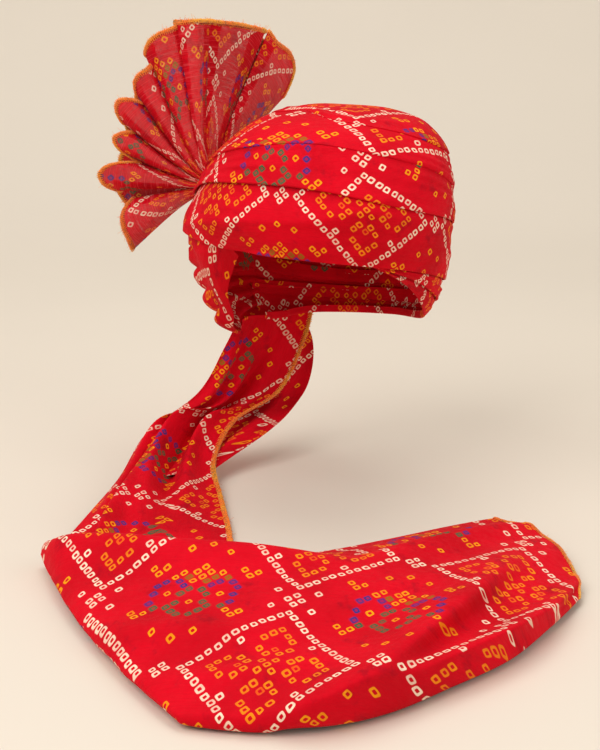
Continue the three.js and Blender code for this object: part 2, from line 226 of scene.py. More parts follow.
FULL_ROLL = 4
STEPS_PER_SECTION = 16
TAIL_ROWS = 141
SHEET_SEAT = 0.7
BACKING = {
    "start": 0.8, "end": 4.2, "inset": 0.35, "seat": 2.1, "behind": 13, "reach": 46, "folds": 3,
    "fold_height": 3,
}
BACKING_GRID = (90, 80)
BOUND_EDGE = {"start": 0.4, "end": 8.6}

# The dot print. The grid of dots is turned 45 degrees; across and up count half diagonals of its squares.
# Two diamonds alternate: four petals ringed by a square of cream dots, and a medallion between the rings.
BLOCK = 15
RING_SIDE = 12
MOTIF_CENTRE = {"petals": (6, 6), "medallion": (21, 6)}
PETAL = ((0, 8), (-1, 7), (1, 7), (-2, 6), (2, 6), (-2, 4), (2, 4), (-1, 3), (1, 3))
SINGLE_DOTS = {
    ("petals", "amber"): ((0, 0), (-1, 1), (1, 1), (-1, -1), (1, -1)),
    ("petals", "orange"): ((0, 4), (0, -4), (4, 0), (-4, 0)),
    ("petals", "cream"): ((5, 5), (-5, 5), (5, -5), (-5, -5), (3, 13), (-3, 13), (3, 17), (-3, 17)),
    ("medallion", "yellow"): (
        (0, -2), (-4, 4), (-3, 5), (-1, 5), (0, 6), (1, 5), (3, 5), (-1, 3), (0, 4),
        (0, 10), (-3, 9), (3, 9), (0, -10), (-3, -9), (3, -9),
    ),
    ("medallion", "olive"): ((1, 3), (2, 4), (4, 4), (-2, 4)),
    ("medallion", "green"): ((-1, 1), (1, 1), (2, -4), (1, -5), (-1, -5), (-2, -4)),
}
# The medallion's side loops: these dots and their mirror images.
SIDE_DOTS = {
    "blue": ((5, 3), (3, 3), (6, 2), (2, 2), (6, 0), (6, -2)),
    "green": ((2, 0), (2, -2), (3, -3), (5, -3)),
    "yellow": ((4, 0),),
}
TRIOS = ((-7, 6), (7, 6), (-7, -4), (7, -4))
TRIO_DOTS = ((-1, 0), (1, 0), (0, -1))
CLUSTERS = ((13, -2), (13, 13))

# Where the centre of the four petals lies on each cloth: millimetres along it, and up from its guide line.
PRINT_PLACE = {
    "crown_top": (30, 10),
    "crown": (64.3, -84.7),
    "upper_wrap": (31.8, -43.6),
    "front_band": (36, -7.5),
    "under_wrap": (0, -20),
    "nape_wrap": (40, 15),
    "side_gather": (-190, 30),
    "plume": (190, 20),
    "tail": (0, 0),
    "tail_backing": (20, 40),
}
# On the run along the front the print lies square to the view from the front, drawn out across the cloth.
LAID_PRINT = {
    "from_section": 10, "x": -40, "y": -412, "turn": -12,
    "stretch_x": 1.05, "stretch_y": 1.25, "middle": 0.66,
}


# Shapes
def spline(a, b, c, d, t):
    """Catmull-Rom value between b and c."""
    slope_b = (c - a) / 2
    slope_c = (d - b) / 2
    square = 3 * (c - b) - 2 * slope_b - slope_c
    cube = 2 * (b - c) + slope_b + slope_c
    return b + slope_b * t + square * t**2 + cube * t**3


def around(values, azimuth):
    """A value between the rows of a closed ring of rows."""
    values = np.asarray(values, float)
    at = np.mod(azimuth, 360) / (360 / len(values))
    i = np.floor(at).astype(int)
    near = [values[(i + k) % len(values)] for k in (-1, 0, 1, 2)]
    return spline(*near, at - i)


def between(values, at):
    """A value between the rows of an open list of rows."""
    i = np.clip(np.floor(at).astype(int), 0, len(values) - 2)
    near = [values[np.clip(i + k, 0, len(values) - 1)] for k in (-1, 0, 1, 2)]
    return spline(*near, at - i)


def smoothstep(value, low, high):
    """0 below low and 1 above high, with a smooth rise between them."""
    t = np.clip((value - low) / (high - low), 0, 1)
    return t * t * (3 - 2 * t)


def unit(vectors):
    return vectors / np.maximum(np.linalg.norm(vectors, axis=-1, keepdims=True), 1e-12)


def even_grid(counts):
    """Two arrays of places from 0 to 1, evenly spaced, for a sheet with these many columns and rows."""
    return np.meshgrid(*(np.linspace(0, 1, count) for count in counts), indexing="ij")


def ripple(seed, along, across, along_waves, across_waves, count=7, closed=False):
    """Uneven low waves from a seeded sum of sines, about -1 to 1; closed ones meet after one turn along."""
    draw = np.random.default_rng(seed)
    total = np.zeros(np.broadcast(along, across).shape)
    for _ in range(count):
        turns_along = draw.uniform(*along_waves)
        if closed:
            turns_along = round(turns_along)
        turns_across = draw.uniform(*across_waves)
        total += np.sin(2 * np.pi * (turns_along * along + turns_across * across + draw.random()))
    return total / count * 1.6


def body_radius(azimuth, z):
    """Radius of the turban's outline at an azimuth and height."""
    rim_z, rim_r, swell, belly_z, belly_r, dome = (
        around(BODY[name], azimuth) for name in ("rim_z", "rim_r", "swell", "belly_z", "belly_r", "dome")
    )
    low = np.clip((z - rim_z) / (belly_z - rim_z), 0, 1)
    high = np.clip((z - belly_z) / (TOP_Z - belly_z), 0, 1)
    below = rim_r + (belly_r - rim_r) * (1 - (1 - low) ** swell) ** (1 / swell)
    above = belly_r * (1 - high**dome) ** (1 / dome)
    return np.where(z < belly_z, below, above)


def on_body(azimuth, radius, z):
    """A point at an azimuth, a radius and a height."""
    a = np.radians(azimuth)
    return np.stack(np.broadcast_arrays(np.sin(a) * radius, -np.cos(a) * radius, z), -1)


def cloth_above(cloth):
    place = CLOTHS.index(cloth)
    return CLOTHS[place - 1] if place else None


def lower_edge(cloth, azimuth):
    return around(LOWER_EDGE[cloth], azimuth)


def upper_edge(cloth, azimuth):
    """The crown's top closes at the highest point, and every other cloth ends under the one above it."""
    above = cloth_above(cloth)
    if above is None:
        return np.full_like(azimuth, TOP_Z, dtype=float)
    covered = np.maximum(lower_edge(above, azimuth), lower_edge(cloth, azimuth)) + OVERLAP
    return np.minimum(covered, TOP_Z - 0.2)


def face_radius(cloth, azimuth, z):
    """Radius of a cloth's smooth face: proud at its lower edge and tucked in under the cloth above."""
    low = lower_edge(cloth, azimuth)
    share = (z - low) / (upper_edge(cloth, azimuth) - low)
    radius = body_radius(azimuth, z) + LIP[cloth] * (1 - np.clip(2 * share, 0, 1))
    above = cloth_above(cloth)
    if above is None:
        return radius
    edge = lower_edge(above, azimuth)
    covered_z = np.maximum(edge, z)
    roof = face_radius(above, azimuth, covered_z) - LAYER_STEP[cloth]
    if cloth == "crown":
        roof = roof + body_radius(azimuth, z) - body_radius(azimuth, covered_z)
    return np.minimum(radius, roof + BELOW_EDGE * np.maximum(edge - z, 0))


def crease_height(cloth, azimuth, place):
    """How far the creases and fine wrinkles of a cloth raise its face."""
    total = np.zeros(np.broadcast(azimuth, place).shape)
    for crease in CREASES:
        if crease["cloth"] != cloth:
            continue
        turn = np.mod(azimuth - crease["start"], 360) / (crease["end"] - crease["start"])
        centre = crease["place_from"] + (crease["place_to"] - crease["place_from"]) * turn
        fade = np.where(turn <= 1, np.sin(np.pi * np.clip(turn, 0, 1)) ** 0.7, 0)
        off = place - centre
        width = np.where(off > 0, crease["upper"], crease["lower"])
        total += crease["height"] * fade * np.exp(-((off / width) ** 2))
    fine = ripple(CLOTHS.index(cloth) + 3, azimuth / 360, place, (-7, 7), (1.5, 4.5), closed=True)
    soft = ripple(CLOTHS.index(cloth) + 13, azimuth / 360, place, (-3, 3), (0.6, 2.0), 5, closed=True)
    return total + 0.5 * fine + 0.5 * soft


# Meshes
SEAM_GAP = 2e-6


def deselect():
    """Leaves nothing selected, so that the next operator acts on what it adds alone."""
    bpy.ops.object.select_all(action="DESELECT")


def active_mesh(name):
    """The object just added, named with its mesh."""
    piece = bpy.context.object
    piece.name = name
    piece.data.name = name
    return piece


def cloth_from_grid(name, points, print_at, laid_from=None, laid_print=None, cover=None):
    """A grid of quads bent to points (columns, rows, 3) in millimetres.

    Its UV map is print_at, in metres. Faces from column laid_from on take their UV from laid_print instead.
    Cover is a number for every point.
    """
    across = points.shape[0] - 1
    up = points.shape[1] - 1
    deselect()
    bpy.ops.mesh.primitive_grid_add(x_subdivisions=across, y_subdivisions=up, size=2, calc_uvs=True)
    piece = active_mesh(name)
    mesh = piece.data
    flat = np.empty(len(mesh.vertices) * 3)
    mesh.vertices.foreach_get("co", flat)
    flat = flat.reshape(-1, 3)
    i = np.rint((flat[:, 0] + 1) / 2 * across).astype(int)
    j = np.rint((flat[:, 1] + 1) / 2 * up).astype(int)
    mesh.vertices.foreach_set("co", (points[i, j] * MM).ravel())
    corner = np.empty(len(mesh.loops), int)
    mesh.loops.foreach_get("vertex_index", corner)
    uv = mesh.uv_layers[0]
    uv.name = "cloth"
    places = print_at[i, j][corner]
    if laid_print is not None:
        first_column = i[corner].reshape(-1, 4).min(axis=1).repeat(4)
        places = np.where((first_column >= laid_from)[:, None], laid_print[i, j][corner], places)
    uv.data.foreach_set("uv", places.ravel())
    if cover is not None:
        mesh.attributes.new("cover", "FLOAT", "POINT").data.foreach_set("value", cover[i, j])
    mesh.update()
    return piece


def close_seams():
    """Joins the two ends of the active cloth if it comes full circle, and its rows that meet at a point."""
    bpy.ops.object.mode_set(mode="EDIT")
    bpy.ops.mesh.select_all(action="SELECT")
    bpy.ops.mesh.remove_doubles(threshold=SEAM_GAP)
    bpy.ops.object.mode_set(mode="OBJECT")


def thicken(piece, thickness, offset):
    """Gives a cloth its thickness and smooth shading."""
    solid = piece.modifiers.new("thickness", "SOLIDIFY")
    solid.thickness = thickness
    solid.offset = offset
    solid.use_even_offset = False
    bpy.ops.object.modifier_apply(modifier=solid.name)
    bpy.ops.object.shade_smooth_by_angle(angle=math.radians(70))


def finish_piece(piece, material, slot, *nodes):
    """Gives a piece its material, and ties it to the frame in place of the nodes that it stands for."""
    piece.data.materials.clear()
    piece.data.materials.append(material)
    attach(piece, "root")
    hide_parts(*nodes)
    return piece


def run_length(points, axis):
    """Length run so far along one way of a grid of points."""
    steps = np.linalg.norm(np.diff(points, axis=axis), axis=-1)
    start = np.zeros_like(np.take(steps, [0], axis=axis))
    return np.concatenate([start, np.cumsum(steps, axis=axis)], axis=axis)


def sizes():
    return bpy.context.scene.turban_sizes


def colours():
    return bpy.context.scene.turban_colours


# Wound cloth
LIP_ROWS = 6
TURN_ROWS = 3
SHOWING_ROWS = 30
TUCKED_ROWS = 3
TOP_ROWS = 42
WRAP_STEP = 1.25


def wrap_points(cloth, azimuths):
    """Sections of a wrap: its turned-under hem, round the lip, up its face and in under the cloth above."""
    lip = sizes().lip_radius / MM
    azimuth = azimuths[:, None]
    low = lower_edge(cloth, azimuth)
    covered = np.maximum(lower_edge(cloth_above(cloth), azimuth), low + 3)
    high = np.maximum(upper_edge(cloth, azimuth), covered + 1)
    share = np.linspace(0, 1, SHOWING_ROWS)[None, :] ** 1.15
    showing = low + lip + (covered - low - lip) * share
    tucked = covered + (high - covered) * np.linspace(0, 1, TUCKED_ROWS + 1)[None, 1:]
    face_z = np.concatenate([showing, tucked], axis=1)
    place = (face_z - low) / (covered - low)
    creases = crease_height(cloth, azimuth, place) * (1 - smoothstep(place, 0.94, 1.02))
    face_r = face_radius(cloth, azimuth, face_z) + creases
    turn = np.linspace(np.pi, 2 * np.pi, LIP_ROWS + 1)[None, :-1]
    lip_r = face_r[:, :1] - lip + lip * np.cos(turn)
    lip_z = low + lip + lip * np.sin(turn)
    hem = np.linspace(sizes().turned_hem / MM, 0, TURN_ROWS, endpoint=False)[None, :]
    hem_z = low + lip + hem
    lean = face_radius(cloth, azimuth, hem_z) - face_radius(cloth, azimuth, low + lip)
    hem_r = face_r[:, :1] - 2 * lip + np.minimum(lean, 0)
    radius = np.concatenate([hem_r, lip_r, face_r], axis=1)
    z = np.concatenate([hem_z, lip_z, face_z], axis=1)
    return on_body(azimuth, radius, z)


def crown_top_points(azimuths):
    """Sections of the cloth over the very top, from its lower edge to the highest point."""
    lip = sizes().lip_radius / MM
    azimuth = azimuths[:, None]
    low = lower_edge("crown_top", azimuth)
    rim = body_radius(azimuth, low) + LIP["crown_top"]
    share = np.linspace(0, 1, TOP_ROWS)[None, :]
    across = rim * (1 - share)
    drop = low + (TOP_Z - low) * dome_rise(azimuth, across, low, rim)
    fine = crease_height("crown_top", azimuth, share) * smoothstep(share, 0.0, 0.08) * (1 - share**2)
    face_z = drop + fine * 0.8
    turn = np.linspace(np.pi, 2 * np.pi, LIP_ROWS + 1)[None, :-1]
    lip_r = rim - lip + lip * np.cos(turn)
    lip_z = low + lip * np.sin(turn)
    radius = np.concatenate([lip_r, across], axis=1)
    z = np.concatenate([lip_z, face_z], axis=1)
    return on_body(azimuth, radius, z)


def dome_rise(azimuth, radius, low, rim):
    """How far up from the lower edge to the highest point the outline is at a radius, from 0 to 1."""
    belly_z, belly_r, dome = (around(BODY[name], azimuth) for name in ("belly_z", "belly_r", "dome"))
    inward = np.clip(radius / rim, 0, 1) * np.clip((rim - LIP["crown_top"]) / belly_r, 0, 1)
    z = belly_z + (TOP_Z - belly_z) * (1 - inward**dome) ** (1 / dome)
    return np.clip((z - low) / (TOP_Z - low), 0, 1)


PERIODS_PER_TURN = 5
FRONT_PERIODS = {"upper_wrap": 4.2}
LEVEL_SHARE = 1.3
FRONT_SIDE = 60
CONE_TURN = 0.8
CONE_ANCHOR = -19


def wrap_print(cloth, azimuths, points):
    """Print coordinates of a wrap in millimetres: along the wrap, and up from its guide line."""
    period = BLOCK * math.sqrt(2) * sizes().dot_pitch / MM
    climb = run_length(points, 1)
    low_row = TURN_ROWS + LIP_ROWS // 2
    guide = low_row if cloth != "front_band" else TURN_ROWS + LIP_ROWS + SHOWING_ROWS - 1
    up = climb - climb[:, guide : guide + 1]
    if cloth == "crown":
        apex = meridian_length(azimuths, lower_edge("crown", azimuths))
        anchor = meridian_length(np.array([CONE_ANCHOR]), lower_edge("crown", np.array([CONE_ANCHOR])))[0]
        turn = np.radians(CONE_TURN * (azimuths - CONE_ANCHOR))[:, None]
        slant = apex[:, None] - up
        along = slant * np.sin(turn)
        up = anchor - slant * np.cos(turn)
    else:
        front = FRONT_PERIODS.get(cloth, PERIODS_PER_TURN)
        behind = np.maximum(azimuths - FRONT_SIDE, 0) + np.minimum(azimuths + FRONT_SIDE, 0)
        turns = azimuths / 360 * front + behind / (360 - 2 * FRONT_SIDE) * (PERIODS_PER_TURN - front)
        along = (turns * period)[:, None] + 0 * up
    if cloth == "upper_wrap":
        level = lower_edge(cloth, azimuths) - lower_edge(cloth, np.zeros(1))
        up = up + LEVEL_SHARE * level[:, None]
    return np.stack([along, up], -1)


def meridian_length(azimuths, low):
    """Length up the body's outline from a height to the highest point."""
    share = np.sin(np.linspace(0, np.pi / 2, 60))[None, :]
    z = low[:, None] + (TOP_Z - low[:, None]) * share
    radius = body_radius(azimuths[:, None], z)
    return run_length(np.stack([radius, z], -1), 1)[:, -1]


def crown_top_print(azimuths, points):
    """The top cloth's print lies as on a flat cloth laid over the dome."""
    climb = run_length(points, 1)
    slant = climb[:, -1:] - climb
    turn = np.radians(azimuths)[:, None]
    return np.stack([slant * np.sin(turn), -slant * np.cos(turn)], -1)


def place_print(cloth, flat_points):
    """Print coordinates in metres, moved so that a set of petals lies at the cloth's chosen place."""
    return (flat_points - np.array(PRINT_PLACE[cloth], float)) * MM


# Gathers, plume and tail
def gather_points(turns, shares):
    """Points of the side gathers: turns run towards the front, shares from the rim up under the band."""
    turn, share = np.meshgrid(turns, shares, indexing="ij")
    azimuth = GATHER["start"] + (GATHER["end"] - GATHER["start"]) * turn
    band_edge = lower_edge("front_band", azimuth)
    low = around(BODY["rim_z"], azimuth)
    z = low + (band_edge + GATHER["covered"] - low) * share
    wander = GATHER["wander"] * ripple(21, turn, share, (0.5, 1.6), (0, 0.6))
    phase = GATHER["folds"] * (share + GATHER["slant"] * turn + wander)
    bunched = 1 - smoothstep(turn, GATHER["smooth_from"], GATHER["smooth_to"])
    lobe = np.abs(np.sin(np.pi * phase)) ** 0.75 * bunched
    uneven = 1 + GATHER["uneven"] * ripple(22, turn, share, (0.8, 2.4), (0.4, 1.6))
    ruching = GATHER["ruching"] * ripple(23, turn, share, (5, 11), (1, 5)) * lobe
    roll = GATHER["roll_height"] * np.sin(np.pi * smoothstep(turn, GATHER["roll_from"], GATHER["roll_to"]))
    roof = face_radius("front_band", azimuth, np.maximum(z, band_edge)) - GATHER["under_band"]
    radius = body_radius(azimuth, z) - GATHER["sunk"] + GATHER["height"] * lobe * uneven + ruching + roll
    return on_body(azimuth, np.minimum(radius, roof), z)


def plume_creases():
    """The fan's section as columns: each pleat is a flattened tube with its sides tucked under."""
    rows = []
    for pleat in PLEATS:
        for place, rise in PLEAT_SECTION:
            end = pleat["reach_to"] if place > 0 else pleat["reach_from"]
            tucked = rise < -0.5
            reach = pleat["reach"] + (end - pleat["reach"]) * abs(place) ** 2 - TUCKED_SHORT * tucked
            cover = 1 - pleat["sheer"] * min(max(rise + 0.6, 0), 1)
            rows.append((pleat["angle"] + pleat["spread"] * place, reach, rise * pleat["depth"], cover))
    return columns(("angle", "reach", "depth", "cover"), rows[1:-1])


PLUME_CREASES = plume_creases()


def plume_value(name, across):
    return between(PLUME_CREASES[name], across * (len(PLUME_CREASES[name]) - 1))


def plume_point(along, across):
    """A point of the fan: along runs from the neck to the edge, across from the first pleat to the last."""
    a = np.radians(plume_value("angle", across))
    far = plume_value("reach", across) * (PLUME["neck"] + (1 - PLUME["neck"]) * along)
    depth = plume_value("depth", across) * along**0.7
    sideways = far * np.cos(a)
    flutter = PLUME["flutter"] * along**2 * ripple(31, along, across, (0.2, 1.2), (6, 22))
    back = PLUME["back_sweep"] * np.maximum(sideways, 0) + PLUME["lean"] * far - depth + flutter
    neck_r = body_radius(np.array(PLUME["azimuth"]), np.array(PLUME["z"])) + PLUME["stand_off"]
    sunk = (neck_r - PLUME["tuck"] * (1 - along) ** 6)[..., None]
    neck = on_body(PLUME["azimuth"], 1.0, 0.0) * sunk + np.array([0, 0, PLUME["z"]])
    return neck + np.stack([sideways, back, far * np.sin(a)], -1)


def tail_frame(along):
    """The edges and directions of the tail at places along it."""
    left = np.stack([between(TAIL["left_" + way], along) for way in ("x", "y", "lift")], -1)
    right = np.stack([between(TAIL["right_" + way], along) for way in ("x", "y", "lift")], -1)
    across_way = unit(right - left)
    flat = np.zeros_like(along)
    level = unit(np.stack([-across_way[..., 1], across_way[..., 0], flat], -1))
    hang = smoothstep(left[..., 2], 20, 80)[..., None]
    out = unit(np.stack([flat, flat, flat + 1], -1) * (1 - hang) - level * hang)
    return left, right, across_way, level, out


def tail_point(along, across):
    """A point of the tail: along counts its sections, across runs from the left edge to the right."""
    left, right, across_way, level, out = tail_frame(along)
    bow, sweep, roll = (between(TAIL[name], along) for name in ("bow", "sweep", "roll"))
    roll = np.maximum(roll, 0)
    rolled = ROLL_SHARE * np.minimum(roll / FULL_ROLL, 1) + 1e-6
    curl = np.pi * np.maximum((across - 1 + rolled) / rolled, 0)
    share = np.minimum(across / (1 - rolled), 1)
    middle = 4 * across * (1 - across)
    raised = roll * (np.cos(curl) - 1) + bow * middle
    pushed = roll * np.sin(curl)
    for fold in TAIL_FOLDS:
        part = np.clip((along - fold["start"]) / (fold["end"] - fold["start"]), 0, 1)
        centre = fold["across_from"] + (fold["across_to"] - fold["across_from"]) * part
        swell = np.sin(np.pi * part) * np.exp(-(((across - centre) / fold["spread"]) ** 2))
        raised = raised + fold["height"] * swell
        pushed = pushed + fold["lean"] * swell * (1 - smoothstep(across, 0.85, 1.0))
    broad = ripple(41, along / TAIL_END, across, (-6, 6), (1, 5))
    fine = ripple(42, along / TAIL_END, across, (-12, 12), (2, 9))
    raised = raised + (broad + 0.8 * fine) * (1 - (2 * across - 1) ** 8)
    point = left + (right - left) * share[..., None]
    point = point + out * raised[..., None] + across_way * pushed[..., None]
    point = point + level * (sweep * middle)[..., None]
    point[..., 2] += TABLE_Z + SHEET_SEAT
    return point


def backing_point(along, across):
    """A point of the doubled-back layer behind the hanging part of the tail."""
    section = BACKING["start"] + (BACKING["end"] - BACKING["start"]) * along
    left, right, across_way, _, out = tail_frame(section)
    share = BACKING["inset"] + (1 - BACKING["inset"]) * across
    loose = np.sin(np.pi * along)
    fold = BACKING["fold_height"] * np.sin(2 * np.pi * BACKING["folds"] * across)
    raised = between(TAIL["bow"], section) * 4 * share * (1 - share)
    raised = raised + (fold - BACKING["behind"]) * loose - BACKING["seat"]
    pushed = BACKING["reach"] * across * loose
    point = left + (right - left) * share[..., None]
    point = point + across_way * pushed[..., None] + out * raised[..., None]
    point[..., 2] += TABLE_Z + SHEET_SEAT
    return point


def sheet_print(points):
    """Print coordinates of a loose sheet: along it, and in from its last edge, in true lengths."""
    along = run_length(points, 0)
    steps = np.linalg.norm(np.diff(points, axis=1), axis=-1)
    slant = np.diff(along, axis=1)
    square = np.sqrt(np.maximum(steps**2 - slant**2, (0.3 * steps) ** 2))
    from_edge = np.cumsum(square[:, ::-1], axis=1)[:, ::-1]
    inward = np.concatenate([from_edge, np.zeros((len(points), 1))], axis=1)
    return np.stack([along, inward], -1)


def laid_print_at(points):
    """Print coordinates in metres of the tail's run along the front, laid flat from its middle line."""
    turn = math.radians(LAID_PRINT["turn"])
    x = points[..., 0] - LAID_PRINT["x"]
    y = points[..., 1] - LAID_PRINT["y"]
    across = x * math.cos(turn) + y * math.sin(turn)
    up = y * math.cos(turn) - x * math.sin(turn)
    steps = np.linalg.norm(np.diff(points, axis=1), axis=-1)
    down = np.sqrt(np.maximum(steps**2 - np.diff(across, axis=1) ** 2, (0.2 * steps) ** 2))
    laid = -np.concatenate([np.zeros((len(points), 1)), np.cumsum(down, axis=1)], axis=1)
    middle = round(LAID_PRINT["middle"] * (points.shape[1] - 1))
    laid = laid - laid[:, middle : middle + 1] + up[:, middle : middle + 1]
    return np.stack([across / LAID_PRINT["stretch_x"], laid / LAID_PRINT["stretch_y"]], -1) * MM


def edge_frame(point, along, across, along_step, across_step):
    """Unit vectors on a sheet: along it, across it and square to it."""
    along_way = unit(point(along + along_step, across) - point(along - along_step, across))
    across_way = unit(point(along, across + across_step) - point(along, across - across_step))
    return along_way, across_way, unit(np.cross(across_way, along_way))


# Overlocked edges. Lengths across the edge are shares of half the overlock's width.
OVERLOCK = {
    "steps_per_stitch": 10, "sides": 5, "uneven": 0.16, "flat": 0.5, "middle": 0.3,
    "core": 0.32, "outer_core": 0.3, "outer_core_at": 0.45, "hair_root": 0.6, "hair_radius": 0.11,
}
EDGE_PLACES = {"across": 720, "along": 500}


def evened(points, outward, normal, spacing):
    """The edge's places again, evenly spaced along it."""
    run = run_length(points[:, None, :], 0)[:, 0]
    at = np.linspace(0, run[-1], max(int(run[-1] / spacing), 4))

    def spread(values):
        return np.stack([np.interp(at, run, values[:, k]) for k in range(3)], -1)

    return spread(points), unit(spread(outward)), unit(spread(normal))


def tube_mesh(paths, radii, sides):
    """Vertices and quads of round tubes along paths, each a list of points in millimetres."""
    vertices = []
    faces = []
    for path, radius in zip(paths, radii):
        way = unit(np.gradient(path, axis=0))
        helper = np.where(np.abs(way[:, 2:3]) < 0.9, [[0, 0, 1.0]], [[1.0, 0, 0]])
        side = unit(np.cross(way, helper))
        other = np.cross(way, side)
        turn = np.arange(sides) / sides * 2 * np.pi
        thick = np.full(len(path), radius)
        ring = path[:, None, :] + thick[:, None, None] * (
            np.cos(turn)[None, :, None] * side[:, None, :] + np.sin(turn)[None, :, None] * other[:, None, :]
        )
        first = sum(len(v) for v in vertices)
        vertices.append(ring.reshape(-1, 3))
        i = np.arange(len(path) - 1)[:, None] * sides
        k = np.arange(sides)[None, :]
        quads = np.stack([i + k, i + (k + 1) % sides, i + sides + (k + 1) % sides, i + sides + k], -1)
        faces.extend((quads.reshape(-1, 4) + first).tolist())
        last = first + (len(path) - 1) * sides
        faces.append([first + n for n in range(sides)][::-1])
        faces.append([last + n for n in range(sides)])
    return np.concatenate(vertices), faces


def overlock(name, points, outward, normal, seed):
    """A thread wound closely round a cloth's edge over a flat core, with a few loose hairs."""
    size = sizes()
    spacing = size.stitch_spacing / MM
    reach = size.overlock_width / MM / 2
    thread = size.thread_radius / MM
    per_turn = OVERLOCK["steps_per_stitch"]
    centre, outward, normal = evened(points, outward, normal, spacing / per_turn)
    count = len(centre)
    draw = np.random.default_rng(seed)
    turn = np.arange(count) / per_turn * 2 * np.pi
    knots = np.arange(0, count + 8, 8)
    loose = 1 + OVERLOCK["uneven"] * np.interp(np.arange(count), knots, draw.uniform(-1, 1, len(knots)))
    flat = OVERLOCK["flat"] * reach
    middle = centre + outward * (OVERLOCK["middle"] * reach)
    wound = middle + outward * (reach * loose * np.cos(turn))[:, None]
    wound = wound + normal * (flat * np.sin(turn) * loose)[:, None]
    core = slice(None, None, per_turn // 2)
    outer_core = middle[core] + outward[core] * (OVERLOCK["outer_core_at"] * reach)
    paths = [wound, middle[core], outer_core]
    radii = [thread, OVERLOCK["core"] * reach, OVERLOCK["outer_core"] * reach]
    for place in draw.integers(0, count, int(count / per_turn / 2)):
        curl = draw.normal(0, 1, 3) * 1.4 + outward[place] * draw.uniform(1.0, 3.0)
        steps = np.linspace(0, 1, 5)[:, None]
        sag = draw.normal(0, 0.8, 3)
        root = middle[place] + outward[place] * reach * OVERLOCK["hair_root"]
        paths.append(root + curl * steps + sag * steps**2)
        radii.append(OVERLOCK["hair_radius"])
    vertices, faces = tube_mesh(paths, radii, OVERLOCK["sides"])
    mesh = bpy.data.meshes.new(name)
    mesh.from_pydata((vertices * MM).tolist(), [], faces)
    mesh.update()
    piece = bpy.data.objects.new(name, mesh)
    bpy.context.scene.collection.objects.link(piece)
    deselect()
    piece.select_set(True)
    bpy.context.view_layer.objects.active = piece
    bpy.ops.object.shade_smooth()
    return piece


# Materials
class Recipe:
    """Adds linked nodes to a node tree, with plain numbers set straight on the sockets."""

    def __init__(self, tree):
        self.tree = tree

    def node(self, kind, inputs=(), **settings):
        made = self.tree.nodes.new(kind)
        for name, value in settings.items():
            setattr(made, name, value)
        for key, value in dict(inputs).items():
            if isinstance(value, bpy.types.NodeSocket):
                self.tree.links.new(value, made.inputs[key])
            else:
                made.inputs[key].default_value = value
        return made

    def math(self, operation, *values):
        return self.node("ShaderNodeMath", enumerate(values), operation=operation).outputs[0]

    def vector(self, operation, *values):
        return self.node("ShaderNodeVectorMath", enumerate(values), operation=operation).outputs[0]

    def mix(self, share, first, second, blend="MIX"):
        made = self.node("ShaderNodeMix", data_type="RGBA", blend_type=blend)
        for socket, value in ((made.inputs[0], share), (made.inputs[6], first), (made.inputs[7], second)):
            if isinstance(value, bpy.types.NodeSocket):
                self.tree.links.new(value, socket)
            else:
                socket.default_value = value
        return made.outputs[2]

    def ramp_between(self, value, low, high, to_low=0.0, to_high=1.0):
        inputs = {0: value, 1: low, 2: high, 3: to_low, 4: to_high}
        return self.node("ShaderNodeMapRange", inputs, interpolation_type="SMOOTHSTEP").outputs[0]

    def noise(self, vector, scale, detail=2.0, roughness=0.5):
        inputs = {"Vector": vector, "Scale": scale, "Detail": detail, "Roughness": roughness}
        return self.node("ShaderNodeTexNoise", inputs).outputs[0]

    def stretched(self, vector, scale):
        return self.node("ShaderNodeMapping", {"Vector": vector, "Scale": scale}).outputs[0]


def dot_chart():
    """The print's repeat: for each place on the turned grid, the colour of its dot."""
    chart = {}

    def put(p, q, colour):
        block = math.floor(q / BLOCK)
        chart[(int(p - BLOCK * block) % (2 * BLOCK), int(q - BLOCK * block))] = colour

    def dot(motif, across, up, colour):
        p, q = MOTIF_CENTRE[motif]
        put(p + (across + up) / 2, q + (up - across) / 2, colour)

    for step in range(RING_SIDE + 1):
        for p, q in ((step, 0), (step, RING_SIDE), (0, step), (RING_SIDE, step)):
            put(p, q, "cream")
    for p, q in CLUSTERS:
        for dp, dq in ((0, 0), (0, 1), (1, 0), (1, 1)):
            put(p + dp, q + dq, "cream")
    for across, up in PETAL:
        for place in ((across, up), (up, -across), (-across, -up), (-up, across)):
            dot("petals", *place, "amber")
    for colour, places in SIDE_DOTS.items():
        for across, up in places:
            for side in (-1, 1):
                dot("medallion", side * across, up, colour)
    for (motif, colour), places in SINGLE_DOTS.items():
        for across, up in places:
            dot(motif, across, up, colour)
    for across, up in TRIOS:
        for dx, dy in TRIO_DOTS:
            dot("medallion", across + dx, up + dy, "yellow")
    return chart


def chart_row_ramp(recipe, chart, row, position):
    """One row of the chart as a stepped colour ramp; the ramp's alpha is 0 where there is no dot."""
    ramp = recipe.node("ShaderNodeValToRGB", {0: position})
    ramp.color_ramp.interpolation = "CONSTANT"
    cells = [chart.get((column, row)) for column in range(2 * BLOCK)]
    stops = [(n, cell) for n, cell in enumerate(cells) if n == 0 or cell != cells[n - 1]]
    elements = ramp.color_ramp.elements
    while len(elements) > 1:
        elements.remove(elements[-1])
    for n, (column, cell) in enumerate(stops):
        element = elements[0] if n == 0 else elements.new(column / (2 * BLOCK))
        element.position = column / (2 * BLOCK)
        shade = tuple(getattr(colours(), cell)) if cell else (0.0, 0.0, 0.0)
        element.color = (*shade, 1.0 if cell else 0.0)
    return ramp.outputs["Color"], ramp.outputs["Alpha"]


